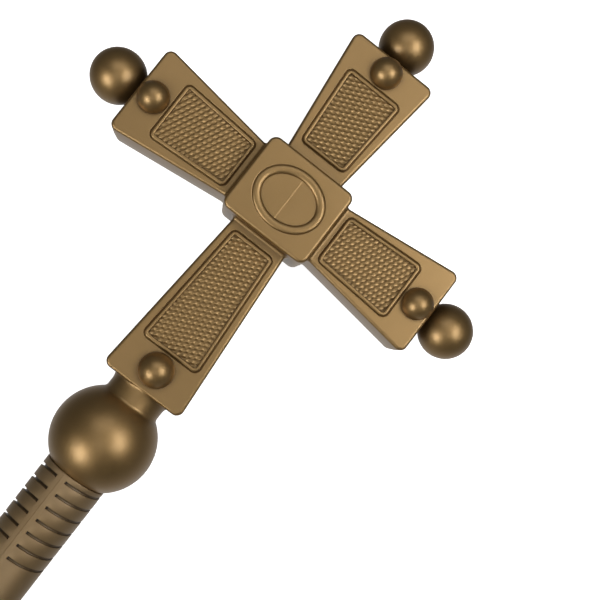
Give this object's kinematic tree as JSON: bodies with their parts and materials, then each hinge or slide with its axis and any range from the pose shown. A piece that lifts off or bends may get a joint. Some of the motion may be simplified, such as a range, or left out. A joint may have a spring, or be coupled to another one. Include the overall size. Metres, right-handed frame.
{
  "type": "papal cross staff",
  "caption": "Ceremonial staff with a cross head of flared, panelled arms tipped with balls, a large ball below it, and a tapered tube pole in plugged sections; lies on its back.",
  "frame": {"origin": "under the middle of the staff's box, on the surface it lies on", "axes": "+X along the staff to the top of the cross, +Y across the arms to the left arm, +Z out of the front, which faces up"},
  "size_m": [1.3998, 0.2172, 0.0496],
  "materials": {
    "head_bronze": "satin metallic bronze coat on moulded plastic",
    "pole_bronze": "satin metallic bronze coat on moulded plastic, a little greyer"
  },
  "bodies": {
    "root": {"cross_head": "head_bronze", "upper_pole": "pole_bronze", "middle_pole": "pole_bronze", "lower_pole": "pole_bronze"}
  },
  "joints": []
}
